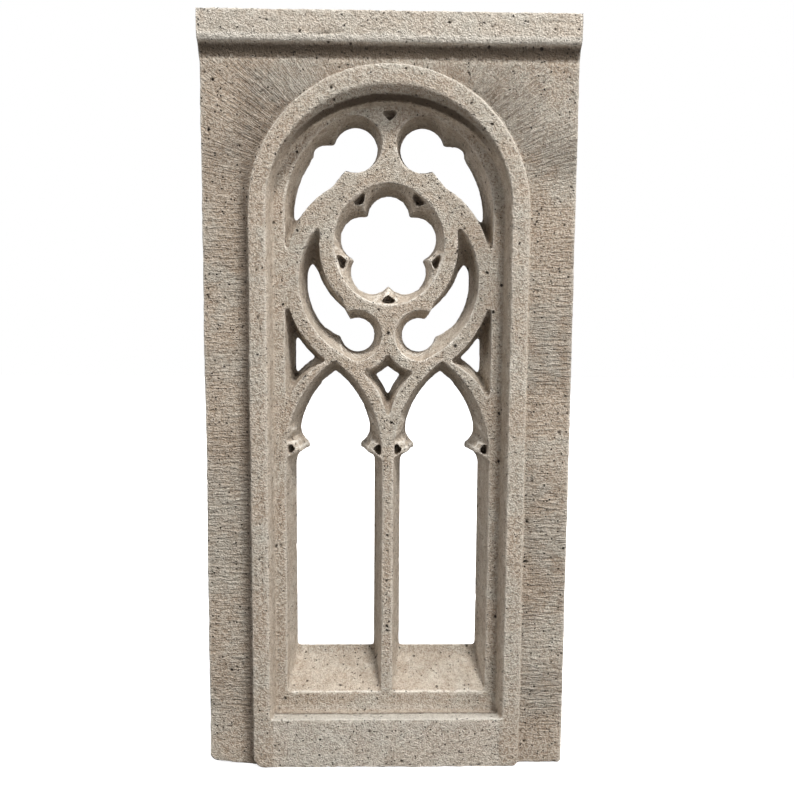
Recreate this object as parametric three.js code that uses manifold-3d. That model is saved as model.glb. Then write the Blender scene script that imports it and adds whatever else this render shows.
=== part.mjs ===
// Stone gothic window: one casting, a slab with a cap, a raised round-headed band and a pierced
// tracery head over two lancet lights. Millimetres, +Z up, front toward -Y.
import * as THREE from "three";
import { mergeVertices } from "three/addons/utils/BufferGeometryUtils.js";
import Module from "manifold-3d";

// Overall block
const overallWidth = 400;
const overallHeight = 822;
const slabDepth = 74;

// Cap across the top: fascia, a small lip and a hollow under it
const capProjection = 10;
const fasciaHeight = 29;
const lipSetback = 2;
const lipHeight = 4;
const coveHeight = 15;

// Raised band round the arch, and the rail that closes it at the bottom
const bandProjection = 9;
const bandOuterHalfWidth = 150.5;
const bandInnerHalfWidth = 130;
const bandArris = 2;
const crownToCove = 4;
const railHeight = 58.5;
const archSpringing = overallHeight - fasciaHeight - lipHeight - coveHeight - crownToCove
  - bandOuterHalfWidth;

// Hollow between the band and the tracery face: a chamfer, then a steep return. Both are wider
// at the crown than on the jambs, so each has its own springing and crown
const chamferDepth = 7;
const chamferWidth = 2.5;
const chamferCrownWidth = 10.5;
const chamferStilt = 7.5;
const returnWidth = 2;
const returnCrownWidth = 7.5;
const returnStilt = 1;
const traceryDepth = 22;
const railLedgeDrop = 4.5;

// The order of plain stone between the hollow and the tracery
const innerOrderWidth = 12.3;

// Tracery, drawn in shares of its own half-width, so that it grows with the arch. Heights in the
// drawing are taken from the springing of the round arch, upward
const jambSplay = 0.057;
const mullionHalfFront = 0.064;
const mullionSplay = 0.073;

// Sill between the lights and the rail, heights from the foot of the window
const sillFrontHeight = 75.5;
const sillSlopeRise = 27.5;
const sillLipRise = 10;
const sillLipDepth = 8;

// Lancet heads: two arcs to a point, lobed and cusped toward the back
const lancetSpringing = -2.363;
const lancetFrontShift = 0.693;
const lancetFrontFoot = 8;
const lancetBackShift = 0.567;
const lancetBackRadius = 0.94;
const lancetBackRise = 0.062;
const lancetLobe = [0.177, -2.133];
const lancetLobeRadius = 0.178;
const lancetLobeStart = -61.5;
const lancetCusp = [0.258, -2.35];
const lancetHollowFoot = -2.496;

// Cusps are half out at this depth behind the tracery face
const cuspPlaneDepth = 15;
const cuspPlaneShare = 0.7;

// Rose: a ring, a little taller than wide, with five lobes and five cusps
const roseHeight = -0.3;
const roseRingHalfWidth = 0.53;
const roseRingHalfHeight = 0.579;
const roseBarWidth = 0.155;
const roseLobes = 5;
const roseLobeReach = 0.499;
const roseCuspReach = 0.362;
const roseCuspTaper = 0.027;
const roseStretch = 1.04;

// Upper mouchettes: a round head beside the top stem, a tail down between jamb and ring
const upperHead = [0.338, 0.649];
const upperHeadBackLift = 0.027;
const upperHeadFrontRadius = 0.265;
const upperHeadFrontEnd = 290;
const upperHeadBackRadius = 0.219;
const upperHeadBackStart = 10;
const upperHeadBackEnd = 298;
const upperSplay = 0.041;
const upperTipFront = [0.995, -0.446];
const upperTipBack = [0.944, -0.027];
const upperLobe = [0.657, 0.587];
const upperLobeRadius = 0.125;
const upperLobeEnd = 122;
const ringSweep = [0.126, -0.508];
const ringSweepFrontRadius = 0.87;
const ringSweepSplay = 0.066;
const ringShoulder = 61;

// Lower mouchettes: a round head beside the bottom stem, a tail up round the rose
const lowerHead = [0.314, -1.179];
const lowerHeadFrontRadius = 0.243;
const lowerHeadFrontStart = 66;
const lowerHeadFrontEnd = 290;
const lowerHeadBackRadius = 0.17;
const lowerHeadBackStart = 64;
const lowerHeadBackEnd = 358;
const lowerCuspReach = 0.177;
const lowerCuspFoot = [0.548, -1.165];
const lowerSweepFront = [0.053, -0.64];
const lowerSweepFrontRadius = 0.818;
const lowerSweepFrontStart = -63;
const lowerSweepFrontBend = -50;
const lowerSweepBack = [0.113, -0.637];
const lowerSweepBackRadius = 0.712;
const lowerSweepBackStart = -38;
const lowerTipFront = [0.668, -0.119];
const lowerTipBack = [0.78, -0.459];
const roseSideFrontStart = 14;
const roseSideFrontEnd = -53;
const roseSideBackStart = -19;
const roseSideBackEnd = -57;
const roseSideSplay = 0.076;

// Bars outside the lower mouchettes and over the lancets, seen from the small openings
const sweepBarWidth = 0.149;
const smallSplay = 0.076;
const barSpringing = -2.089;
const barShift = 0.205;
const lancetBarFront = 0.724;
const kiteBarFront = 0.741;
const kiteBarSplay = 0.054;
const kiteHeadBar = 0.124;
const kiteHeadSplay = 0.084;

// Sunk eyes beside the cusps and under the crown
const roseEyeHalfAngle = 10;
const roseEyeOuter = 0.975;
const roseEyeInner = 0.83;
const lancetEyeWidth = 0.062;
const lancetEyeHalfHeight = 0.071;
const lancetEyeLift = 0.035;
const eyeEdge = 0.012;
const eyeDepth = 24;
const eyeTaper = 0.25;
const crownEyeHalfWidth = 0.075;
const crownEyeTop = 0.954;
const crownEyeFoot = 0.87;
const crownEyeDepth = 16;

const stoneColour = 0xb3a692;
const stoneRoughness = 0.92;

// Fineness of the curves, and how far a cutter runs past the stone
const archSteps = 40;
const sweepSteps = 9;
const headSteps = 16;
const lobeSteps = 8;
const cuspSteps = 4;
const overrun = 3;

// Depths are measured from the slab face, which stands here in the part's own frame
const faceY = -(capProjection + slabDepth) / 2 + capProjection;
const capDepth = -capProjection;
const bandDepth = -bandProjection;
const cuspDepth = traceryDepth + cuspPlaneDepth;
const arch = [0, 0];

// From the tracery drawing, where the jambs stand at 1, to the window
const traceryHalfWidth = bandInnerHalfWidth - chamferWidth - returnWidth - innerOrderWidth;
const placed = (points) =>
  points.map(([x, z]) => [x * traceryHalfWidth, archSpringing + z * traceryHalfWidth]);

// Small geometry helpers, points are [x, z]
const radians = (degrees) => (degrees * Math.PI) / 180;
const degreesTo = ([cx, cz], [x, z]) => (Math.atan2(z - cz, x - cx) * 180) / Math.PI;
const onCircle = ([cx, cz], radius, degrees) => [
  cx + radius * Math.cos(radians(degrees)),
  cz + radius * Math.sin(radians(degrees)),
];
const arc = (centre, radius, from, to, steps) =>
  Array.from({ length: steps }, (_, i) => onCircle(centre, radius, from + ((to - from) * i) / steps));
const line = (a, b, steps) =>
  Array.from({ length: steps }, (_, i) => [
    a[0] + ((b[0] - a[0]) * i) / steps,
    a[1] + ((b[1] - a[1]) * i) / steps,
  ]);
const blend = (a, b, share) =>
  a.map(([x, z], i) => [x + (b[i][0] - x) * share, z + (b[i][1] - z) * share]);
const mirrored = (points) => points.map(([x, z]) => [-x, z]);
const area = (points) =>
  points.reduce((sum, [x, z], i) => {
    const [nx, nz] = points[(i + 1) % points.length];
    return sum + (x * nz - nx * z) / 2;
  }, 0);

// The crossing of two circles, the upper or the lower of the two
function crossing([ax, az], ra, [bx, bz], rb, upper) {
  const dx = bx - ax;
  const dz = bz - az;
  const gap = Math.hypot(dx, dz);
  const along = (ra * ra - rb * rb + gap * gap) / (2 * gap);
  const off = Math.sqrt(Math.max(ra * ra - along * along, 0));
  const both = [1, -1].map((side) => [
    ax + (along * dx - side * off * dz) / gap,
    az + (along * dz + side * off * dx) / gap,
  ]);
  both.sort((p, q) => q[1] - p[1]);
  return both[upper ? 0 : 1];
}

// A closed mesh through outlines of equal length, each at its own depth from front to back
function loft(wasm, sections) {
  const count = sections[0].points.length;
  const turned = area(sections[0].points) < 0;
  const rings = sections.map(({ depth, points }) => ({
    depth,
    points: turned ? [...points].reverse() : points,
  }));
  const positions = rings.flatMap(({ depth, points }) =>
    points.flatMap(([x, z]) => [x, faceY + depth, z]));
  const triangles = [];
  const cap = (ring, base, flip) => {
    const flat = ring.points.map(([x, z]) => new THREE.Vector2(x, z));
    for (const [a, b, c] of THREE.ShapeUtils.triangulateShape(flat, [])) {
      triangles.push(base + a, base + (flip ? c : b), base + (flip ? b : c));
    }
  };
  cap(rings[0], 0, false);
  cap(rings[rings.length - 1], count * (rings.length - 1), true);
  for (let ring = 0; ring + 1 < rings.length; ring++) {
    for (let i = 0; i < count; i++) {
      const next = (i + 1) % count;
      const [fi, fn] = [ring * count + i, ring * count + next];
      const [bi, bn] = [fi + count, fn + count];
      triangles.push(fi, bi, bn, fi, bn, fn);
    }
  }
  return new wasm.Manifold(new wasm.Mesh({
    numProp: 3,
    vertProperties: Float32Array.from(positions),
    triVerts: Uint32Array.from(triangles),
  }));
}

// A cutter that follows its outlines and runs straight out past the first and the last
function cutter(wasm, sections) {
  const first = sections[0];
  const last = sections[sections.length - 1];
  return loft(wasm, [
    { depth: first.depth - overrun, points: first.points },
    ...sections,
    { depth: last.depth + overrun, points: last.points },
  ]);
}

// Slab and cap as one side profile drawn in depth and height, swept across the width
function slabWithCap(wasm) {
  const fasciaFoot = overallHeight - fasciaHeight;
  const lipFoot = fasciaFoot - lipHeight;
  const coveReach = capProjection - lipSetback;
  const profile = new THREE.Shape();
  profile.moveTo(0, 0);
  profile.lineTo(slabDepth, 0);
  profile.lineTo(slabDepth, overallHeight);
  profile.lineTo(capDepth, overallHeight);
  profile.lineTo(capDepth, fasciaFoot);
  profile.lineTo(-coveReach, fasciaFoot);
  profile.lineTo(-coveReach, lipFoot);
  for (let i = 1; i <= lobeSteps; i++) {
    const turn = radians((90 * i) / lobeSteps);
    profile.lineTo(-coveReach * (1 - Math.sin(turn)), lipFoot - coveHeight * (1 - Math.cos(turn)));
  }
  profile.closePath();
  const solid = new THREE.ExtrudeGeometry(profile, { depth: overallWidth, bevelEnabled: false });
  solid.applyMatrix4(new THREE.Matrix4().makeBasis(
    new THREE.Vector3(0, 1, 0), new THREE.Vector3(0, 0, 1), new THREE.Vector3(1, 0, 0)));
  solid.translate(-overallWidth / 2, faceY, 0);
  solid.deleteAttribute("normal");
  solid.deleteAttribute("uv");
  const welded = mergeVertices(solid, 1e-4);
  return new wasm.Manifold(new wasm.Mesh({
    numProp: 3,
    vertProperties: Float32Array.from(welded.attributes.position.array),
    triVerts: Uint32Array.from(welded.index.array),
  }));
}

// A round-headed outline from foot to foot
function archOutline(halfWidth, springing, crown, foot) {
  const head = Array.from({ length: archSteps + 1 }, (_, i) => {
    const turn = radians((180 * i) / archSteps);
    return [halfWidth * Math.cos(turn), springing + (crown - springing) * Math.sin(turn)];
  });
  return [[halfWidth, foot], ...head, [-halfWidth, foot]];
}

function raisedBand(wasm) {
  const outline = (inset) => archOutline(bandOuterHalfWidth - inset, archSpringing,
    archSpringing + bandOuterHalfWidth - inset, 0);
  return loft(wasm, [
    { depth: bandDepth, points: outline(bandArris) },
    { depth: bandDepth + bandArris, points: outline(0) },
    { depth: overrun, points: outline(0) },
  ]);
}

function archHollow(wasm) {
  const crown = archSpringing + bandInnerHalfWidth;
  const mouth = archOutline(bandInnerHalfWidth, archSpringing, crown, railHeight);
  const chamferShare = chamferDepth / (traceryDepth - bandDepth);
  const waist = archOutline(bandInnerHalfWidth - chamferWidth, archSpringing + chamferStilt,
    crown - chamferCrownWidth, railHeight - railLedgeDrop * chamferShare);
  const floor = archOutline(bandInnerHalfWidth - chamferWidth - returnWidth,
    archSpringing + chamferStilt + returnStilt, crown - chamferCrownWidth - returnCrownWidth,
    railHeight - railLedgeDrop);
  return loft(wasm, [
    { depth: bandDepth - overrun, points: mouth },
    { depth: bandDepth, points: mouth },
    { depth: bandDepth + chamferDepth, points: waist },
    { depth: traceryDepth, points: floor },
  ]);
}

// A light with its lancet head, without its sill. Front: plain. Back: lobed and cusped
function lightOutline(front) {
  const outer = 1 - (front ? 0 : jambSplay);
  const inner = mullionHalfFront + (front ? 0 : mullionSplay);
  const centre = (outer + inner) / 2;
  const half = (outer - inner) / 2;
  const shift = front ? lancetFrontShift : lancetBackShift;
  const radius = front ? half + lancetFrontShift : lancetBackRadius;
  const arcCentre = [-shift, lancetSpringing + (front ? 0 : lancetBackRise)];
  const apex = [0, arcCentre[1] + Math.sqrt(radius * radius - shift * shift)];
  const [cuspReach, cuspHeight] = lancetCusp;
  const hollow = front
    ? line([half, lancetHollowFoot], [half, cuspHeight], cuspSteps)
    : arc([cuspReach, lancetHollowFoot], half - cuspReach, 0, 90, cuspSteps);
  const lobe = front
    ? arc(arcCentre, radius, 0, lancetFrontFoot, cuspSteps + 1)
    : [lancetCusp, ...arc(lancetLobe, lancetLobeRadius, lancetLobeStart, 0, cuspSteps)];
  const side = [...hollow, ...lobe, ...arc(arcCentre, radius,
    front ? lancetFrontFoot : degreesTo(arcCentre, lancetLobe), degreesTo(arcCentre, apex), lobeSteps)];
  const outline = [...side, apex, ...mirrored(side).reverse()];
  return outline.map(([x, z]) => [x + centre, z]);
}

// Placed outline with its two sill corners at the given height
function withSill(points, sill) {
  const [first, last] = [points[0], points[points.length - 1]];
  return [[first[0], sill], ...points, [last[0], sill]];
}

function lightCutter(wasm, side) {
  const front = placed(lightOutline(true));
  const back = placed(lightOutline(false));
  const cusped = cuspBlend(front, back);
  const lipDepth = slabDepth - sillLipDepth;
  const riseAt = (depth) =>
    sillFrontHeight + (sillSlopeRise * (depth - traceryDepth)) / (lipDepth - traceryDepth);
  const share = (lipDepth - cuspDepth) / (slabDepth - cuspDepth);
  const sections = [
    { depth: traceryDepth, points: withSill(front, riseAt(traceryDepth)) },
    { depth: cuspDepth, points: withSill(cusped, riseAt(cuspDepth)) },
    { depth: lipDepth, points: withSill(blend(cusped, back, share), riseAt(lipDepth)) },
    { depth: slabDepth, points: withSill(back, riseAt(lipDepth) + sillLipRise) },
  ];
  return cutter(wasm, sections.map(({ depth, points }) => ({
    depth,
    points: side < 0 ? mirrored(points) : points,
  })));
}

// At the cusp plane the splay has run its even share, and the cusps stand out further
function cuspBlend(front, back) {
  const even = (cuspDepth - traceryDepth) / (slabDepth - traceryDepth);
  return front.map(([x, z], i) => {
    const reach = Math.hypot(back[i][0] - x, back[i][1] - z);
    const share = reach > cuspPlaneDepth ? cuspPlaneShare : even;
    return [x + (back[i][0] - x) * share, z + (back[i][1] - z) * share];
  });
}

// Rose: the ring at the front, the five-lobed foil behind it
function roseFront() {
  const steps = roseLobes * lobeSteps;
  return Array.from({ length: steps }, (_, i) => {
    const turn = radians(90 - 180 / roseLobes + (360 * i) / steps);
    return [roseRingHalfWidth * Math.cos(turn), roseHeight + roseRingHalfHeight * Math.sin(turn)];
  });
}

function roseFoil(cuspReach, lobeReach) {
  const halfTurn = 180 / roseLobes;
  const chordHalf = cuspReach * Math.sin(radians(halfTurn));
  const chordAt = cuspReach * Math.cos(radians(halfTurn));
  const rise = lobeReach - chordAt;
  const radius = (chordHalf * chordHalf + rise * rise) / (2 * rise);
  const reach = lobeReach - radius;
  const sweep = degreesTo([reach, 0], [chordAt, chordHalf]);
  return Array.from({ length: roseLobes }, (_, lobe) => {
    const toward = 90 + (360 * lobe) / roseLobes;
    return arc(onCircle([0, 0], reach, toward), radius, toward - sweep, toward + sweep, lobeSteps);
  }).flat().map(([x, z]) => [x, roseHeight + z * roseStretch]);
}

function roseCutter(wasm) {
  const share = cuspPlaneDepth / (slabDepth - traceryDepth);
  const lobeStart = roseRingHalfWidth + (roseLobeReach - roseRingHalfWidth) * share;
  return cutter(wasm, [
    { depth: traceryDepth, points: placed(roseFront()) },
    { depth: cuspDepth, points: placed(roseFoil(roseCuspReach + roseCuspTaper, lobeStart)) },
    { depth: slabDepth, points: placed(roseFoil(roseCuspReach, roseLobeReach)) },
  ]);
}

// Upper mouchette, counter-clockwise from the tip: jamb, arch side, lobe, head, ring side
function upperOutline(front) {
  const radius = 1 - (front ? 0 : upperSplay);
  const ringRadius = ringSweepFrontRadius + (front ? 0 : ringSweepSplay);
  const tip = front ? upperTipFront : upperTipBack;
  const head = [upperHead[0], upperHead[1] + (front ? 0 : upperHeadBackLift)];
  const headRadius = front ? upperHeadFrontRadius : upperHeadBackRadius;
  const bend = degreesTo(arch, upperLobe);
  const tangent = degreesTo(arch, upperHead);
  const headStart = front ? tangent : upperHeadBackStart;
  const headEnd = front ? upperHeadFrontEnd : upperHeadBackEnd;
  const crownSide = front
    ? arc(arch, radius, bend, tangent, cuspSteps)
    : arc(upperLobe, upperLobeRadius, bend, upperLobeEnd, cuspSteps);
  return [
    tip,
    ...arc(arch, radius, 0, bend, sweepSteps),
    ...crownSide,
    ...arc(head, headRadius, headStart, headEnd, headSteps),
    ...line(onCircle(head, headRadius, headEnd), onCircle(ringSweep, ringRadius, ringShoulder),
      cuspSteps),
    ...arc(ringSweep, ringRadius, ringShoulder, degreesTo(ringSweep, tip), sweepSteps),
  ];
}

// Lower mouchette, from the tip: rose side, head, outer sweep. Front: plain. Back: cusped
function lowerOutlineFront() {
  const ring = (degrees) => [
    (roseRingHalfWidth + roseBarWidth) * Math.cos(radians(degrees)),
    roseHeight + (roseRingHalfHeight + roseBarWidth) * Math.sin(radians(degrees)),
  ];
  const steps = sweepSteps + cuspSteps;
  const roseSide = Array.from({ length: steps }, (_, i) =>
    ring(roseSideFrontStart + ((roseSideFrontEnd - roseSideFrontStart) * i) / steps));
  return [
    lowerTipFront,
    ...roseSide.slice(1),
    ...arc(lowerHead, lowerHeadFrontRadius, lowerHeadFrontStart, lowerHeadFrontEnd, headSteps),
    ...arc(lowerSweepFront, lowerSweepFrontRadius, lowerSweepFrontStart, lowerSweepFrontBend,
      cuspSteps),
    ...arc(lowerSweepFront, lowerSweepFrontRadius, lowerSweepFrontBend,
      degreesTo(lowerSweepFront, lowerTipFront), sweepSteps),
  ];
}

function lowerOutlineBack() {
  const rose = [0, roseHeight];
  const sweep = arc(lowerSweepBack, lowerSweepBackRadius, lowerSweepBackStart,
    degreesTo(lowerSweepBack, lowerTipBack), sweepSteps);
  return [
    lowerTipBack,
    ...arc(rose, roseRingHalfWidth + roseBarWidth + roseSideSplay, roseSideBackStart,
      roseSideBackEnd, sweepSteps + cuspSteps - 1),
    ...arc(lowerHead, lowerHeadBackRadius, lowerHeadBackStart, lowerHeadBackEnd, headSteps),
    onCircle(lowerHead, lowerCuspReach, lowerHeadBackEnd),
    ...line(lowerCuspFoot, sweep[0], cuspSteps - 1),
    ...sweep,
  ];
}

const lowerOutline = (front) => (front ? lowerOutlineFront() : lowerOutlineBack());

// A pierced opening from its front outline straight to its back outline
function piercing(wasm, outline, side) {
  const turn = (points) => (side < 0 ? mirrored(points) : points);
  return cutter(wasm, [
    { depth: traceryDepth, points: turn(placed(outline(true))) },
    { depth: slabDepth, points: turn(placed(outline(false))) },
  ]);
}

// Small opening between jamb, sweep bar and lancet bar
function spandrelOutline(front) {
  const splay = front ? 0 : smallSplay;
  const jamb = 1 - (front ? 0 : jambSplay);
  const sweepRadius = lowerSweepFrontRadius + sweepBarWidth + splay;
  const barRadius = lancetBarFront + splay;
  const barCentre = [(1 + mullionHalfFront) / 2 - barShift, barSpringing];
  const onJamb = ([cx, cz], radius, sign) =>
    [jamb, cz + sign * Math.sqrt(radius * radius - (jamb - cx) ** 2)];
  const top = onJamb(lowerSweepFront, sweepRadius, -1);
  const foot = onJamb(barCentre, barRadius, 1);
  const point = crossing(lowerSweepFront, sweepRadius, barCentre, barRadius, true);
  return [
    ...arc(lowerSweepFront, sweepRadius, degreesTo(lowerSweepFront, top),
      degreesTo(lowerSweepFront, point), lobeSteps),
    ...arc(barCentre, barRadius, degreesTo(barCentre, point), degreesTo(barCentre, foot),
      lobeSteps),
    foot,
  ];
}

// Kite between the two lancets and the bottom stem
function kiteOutline(front) {
  const headRadius = lowerHeadFrontRadius + kiteHeadBar + (front ? 0 : kiteHeadSplay);
  const barRadius = kiteBarFront + (front ? 0 : kiteBarSplay);
  const barCentre = [(1 + mullionHalfFront) / 2 + barShift, barSpringing];
  const onAxis = ([cx, cz], radius, sign) => [0, cz + sign * Math.sqrt(radius * radius - cx * cx)];
  const top = onAxis(lowerHead, headRadius, -1);
  const foot = onAxis(barCentre, barRadius, 1);
  const corner = crossing(lowerHead, headRadius, barCentre, barRadius, false);
  const full = (angle) => (angle + 360) % 360;
  const right = [
    ...arc(barCentre, barRadius, full(degreesTo(barCentre, foot)),
      full(degreesTo(barCentre, corner)), lobeSteps),
    ...arc(lowerHead, headRadius, full(degreesTo(lowerHead, corner)),
      full(degreesTo(lowerHead, top)), cuspSteps),
    top,
  ];
  return [...right, ...mirrored(right.slice(1, -1)).reverse()];
}

// Sunk eyes: three-sided pockets, tapered a little toward their floor
function eyeCutter(wasm, drawn, depth) {
  const points = placed(drawn);
  const middle = points.reduce(([sx, sz], [x, z]) => [sx + x / 3, sz + z / 3], [0, 0]);
  const floor = points.map(([x, z]) => [
    x + (middle[0] - x) * eyeTaper,
    z + (middle[1] - z) * eyeTaper,
  ]);
  return loft(wasm, [
    { depth: traceryDepth - overrun, points },
    { depth: traceryDepth, points },
    { depth: traceryDepth + depth, points: floor },
  ]);
}

function eyes(wasm) {
  const onRing = (share, degrees) => [
    roseRingHalfWidth * share * Math.cos(radians(degrees)),
    roseHeight + roseRingHalfHeight * share * Math.sin(radians(degrees)),
  ];
  const list = Array.from({ length: roseLobes }, (_, cusp) => {
    const toward = 90 + (360 * (cusp + 0.5)) / roseLobes;
    return eyeCutter(wasm, [
      onRing(roseEyeOuter, toward - roseEyeHalfAngle),
      onRing(roseEyeOuter, toward + roseEyeHalfAngle),
      onRing(roseEyeInner, toward),
    ], eyeDepth);
  });
  const middle = lancetCusp[1] + lancetEyeLift;
  for (const side of [-1, 1]) {
    for (const edge of [-1, 1]) {
      const base = edge < 0 ? mullionHalfFront + eyeEdge : 1 - eyeEdge;
      list.push(eyeCutter(wasm, [
        [side * base, middle + lancetEyeHalfHeight],
        [side * base, middle - lancetEyeHalfHeight],
        [side * (base - edge * lancetEyeWidth), middle],
      ], eyeDepth));
    }
  }
  list.push(eyeCutter(wasm, [
    [-crownEyeHalfWidth, crownEyeTop], [0, crownEyeFoot], [crownEyeHalfWidth, crownEyeTop],
  ], crownEyeDepth));
  return list;
}

// Manifold result back to a three.js geometry with flat faces
function toGeometry(solid) {
  const { numProp, vertProperties, triVerts } = solid.getMesh();
  const positions = new Float32Array(triVerts.length * 3);
  triVerts.forEach((vertex, i) => {
    for (let axis = 0; axis < 3; axis++) {
      positions[i * 3 + axis] = vertProperties[vertex * numProp + axis];
    }
  });
  const geometry = new THREE.BufferGeometry();
  geometry.setAttribute("position", new THREE.BufferAttribute(positions, 3));
  geometry.computeVertexNormals();
  return geometry;
}

async function buildWindow() {
  const wasm = await Module();
  wasm.setup();
  let body = slabWithCap(wasm).add(raisedBand(wasm)).subtract(archHollow(wasm));
  const cuts = [roseCutter(wasm), piercing(wasm, kiteOutline, 1), ...eyes(wasm)];
  for (const side of [-1, 1]) {
    cuts.push(lightCutter(wasm, side));
    for (const outline of [upperOutline, lowerOutline, spandrelOutline]) {
      cuts.push(piercing(wasm, outline, side));
    }
  }
  for (const cut of cuts) body = body.subtract(cut);
  const stone = new THREE.MeshStandardMaterial({ color: stoneColour, roughness: stoneRoughness });
  const mesh = new THREE.Mesh(toGeometry(body), stone);
  mesh.name = "gothic_window";
  const group = new THREE.Group();
  group.name = "stone_gothic_window";
  group.add(mesh);
  return group;
}

export default await buildWindow();
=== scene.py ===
# %% [markdown]
# A gothic window cast in one piece of stone: a slab with a cap, a raised band round the arch, and
# pierced tracery over two pointed lights. The shape is already right in the frame, so this lesson
# is about what makes it stone: a worn skin, open pores, comb marks and a mottled buff colour.

# %% Load the frame
import itertools
import math

import bmesh
import bpy
import numpy as np
from mathutils import Matrix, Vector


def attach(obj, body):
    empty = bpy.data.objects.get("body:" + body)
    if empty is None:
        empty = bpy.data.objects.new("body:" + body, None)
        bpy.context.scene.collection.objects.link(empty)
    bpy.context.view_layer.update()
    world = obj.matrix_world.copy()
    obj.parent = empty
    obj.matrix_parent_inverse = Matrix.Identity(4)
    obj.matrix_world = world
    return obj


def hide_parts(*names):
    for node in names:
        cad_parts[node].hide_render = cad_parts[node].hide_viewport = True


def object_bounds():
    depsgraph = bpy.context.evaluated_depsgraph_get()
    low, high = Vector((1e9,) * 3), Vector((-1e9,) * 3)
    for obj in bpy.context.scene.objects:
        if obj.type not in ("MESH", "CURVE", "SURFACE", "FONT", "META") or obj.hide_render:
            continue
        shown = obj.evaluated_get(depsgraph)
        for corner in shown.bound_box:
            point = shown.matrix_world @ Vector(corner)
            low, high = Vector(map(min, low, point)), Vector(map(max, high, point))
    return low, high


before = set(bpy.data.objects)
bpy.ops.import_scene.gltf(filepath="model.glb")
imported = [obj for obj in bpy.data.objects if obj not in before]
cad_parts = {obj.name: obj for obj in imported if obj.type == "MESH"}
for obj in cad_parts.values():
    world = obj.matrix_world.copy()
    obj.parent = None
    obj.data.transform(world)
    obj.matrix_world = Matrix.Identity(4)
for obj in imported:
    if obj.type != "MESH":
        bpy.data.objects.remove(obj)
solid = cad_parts["gothic_window"]
cad_low, cad_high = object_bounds()
scene = bpy.context.scene
print("window from", [round(v, 3) for v in cad_low], "to", [round(v, 3) for v in cad_high])

# %% [markdown]
# The camera stands a little left of the middle, about 0.9 m in front of the stone and 0.5 m up,
# and looks slightly down through a fairly wide lens. It is set first, because every later choice
# is judged through it.

# %% Camera
SENSOR_MM = 36.0
FRAME_PIXELS = 794
LENS_PIXELS = 800.0
CAMERA_AT = (-0.00903, -0.89805, 0.50469)
TURN, NOD, TILT = -0.02137, -0.09734, -0.00673

camera_data = bpy.data.cameras.new("photo_camera")
camera_data.sensor_width = SENSOR_MM
camera_data.lens = SENSOR_MM * LENS_PIXELS / FRAME_PIXELS
camera = bpy.data.objects.new("photo_camera", camera_data)
camera.matrix_world = (
    Matrix.Translation(CAMERA_AT)
    @ Matrix.Rotation(TURN, 4, "Z")
    @ Matrix.Rotation(NOD, 4, "X")
    @ Matrix.Rotation(TILT, 4, "Y")
    @ Matrix.Rotation(math.radians(90), 4, "X")
)
scene.collection.objects.link(camera)
scene.camera = camera
print("lens", round(camera_data.lens, 2), "mm")

# %% [markdown]
# Sculpting needs an even skin of small faces, and the frame's mesh has long thin ones. Blender
# can subdivide, but that keeps every long thin shape. A voxel remesh lays an even net over the
# solid instead, and it rounds each arris a little, as a mould and the weather do.

# %% An even skin over the solid
VOXEL = 0.00125


def even_skin(node, name, voxel):
    """A new object with the node's shape in small even faces."""
    mesh = node.data.copy()
    net = bmesh.new()
    net.from_mesh(mesh)
    bmesh.ops.remove_doubles(net, verts=net.verts, dist=1e-6)
    net.to_mesh(mesh)
    net.free()
    skin = bpy.data.objects.new(name, mesh)
    scene.collection.objects.link(skin)
    remesh = skin.modifiers.new("even_skin", "REMESH")
    remesh.mode = "VOXEL"
    remesh.voxel_size = voxel
    settle(skin)
    return skin


def settle(piece):
    """Makes the result of the modifiers the piece's own mesh."""
    graph = bpy.context.evaluated_depsgraph_get()
    result = bpy.data.meshes.new_from_object(piece.evaluated_get(graph))
    piece.modifiers.clear()
    piece.data = result


stone = even_skin(solid, "window_stone", VOXEL)
print("even skin:", len(stone.data.vertices), "points")

# %% [markdown]
# The carving works on all points at once, as rows of numbers. Two helpers give stone its chance:
# a smooth random field for what drifts over the surface, and scattered bowls for the open pores
# that air leaves in cast stone. A third makes a soft step from 0 to 1 out of any measure. The
# chance is seeded, so the same stone comes out every time.

# %% Random fields
LATTICE = 32


def drift(points, size, seed):
    """A smooth random value from 0 to 1 that changes over about size metres."""
    table = np.random.default_rng(seed).random((LATTICE, LATTICE, LATTICE))
    place = points / size
    base = np.floor(place).astype(int)
    share = place - base
    share = share * share * (3 - 2 * share)
    total = np.zeros(len(points))
    for corner in itertools.product((0, 1), repeat=3):
        weight = np.prod(np.where(corner, share, 1 - share), axis=1)
        i, j, k = ((base + corner) % LATTICE).T
        total += weight * table[i, j, k]
    return total


def pores(points, cell, chance, radius, seed):
    """How deep each point lies in a pore, in metres. A cell holds one pore or none."""
    rng = np.random.default_rng(seed)
    middle = rng.random((LATTICE, LATTICE, LATTICE, 3))
    reach = radius * (0.45 + 0.55 * rng.random((LATTICE,) * 3) ** 2)
    reach[rng.random((LATTICE,) * 3) > chance] = 1e-9
    base = np.floor(points / cell).astype(int)
    deepest = np.zeros(len(points))
    for step in itertools.product((-1, 0, 1), repeat=3):
        here = base + step
        i, j, k = (here % LATTICE).T
        gap = np.linalg.norm(points - (here + middle[i, j, k]) * cell, axis=1)
        size = reach[i, j, k]
        deepest = np.maximum(deepest, size * np.clip(1 - (gap / size) ** 2, 0, 1))
    return deepest


def ramp(values, low, high):
    """0 below low, 1 above high, smooth between."""
    share = np.clip((values - low) / (high - low), 0, 1)
    return share * share * (3 - 2 * share)


# %% [markdown]
# First the wear. A point's neighbours show whether it lies on an arris or in a corner: their mean
# is behind it on an arris and in front of it in a corner. Pulling points toward that mean softens
# arrises, more in one place than in another, and the same measure is kept to colour them later.

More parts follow.
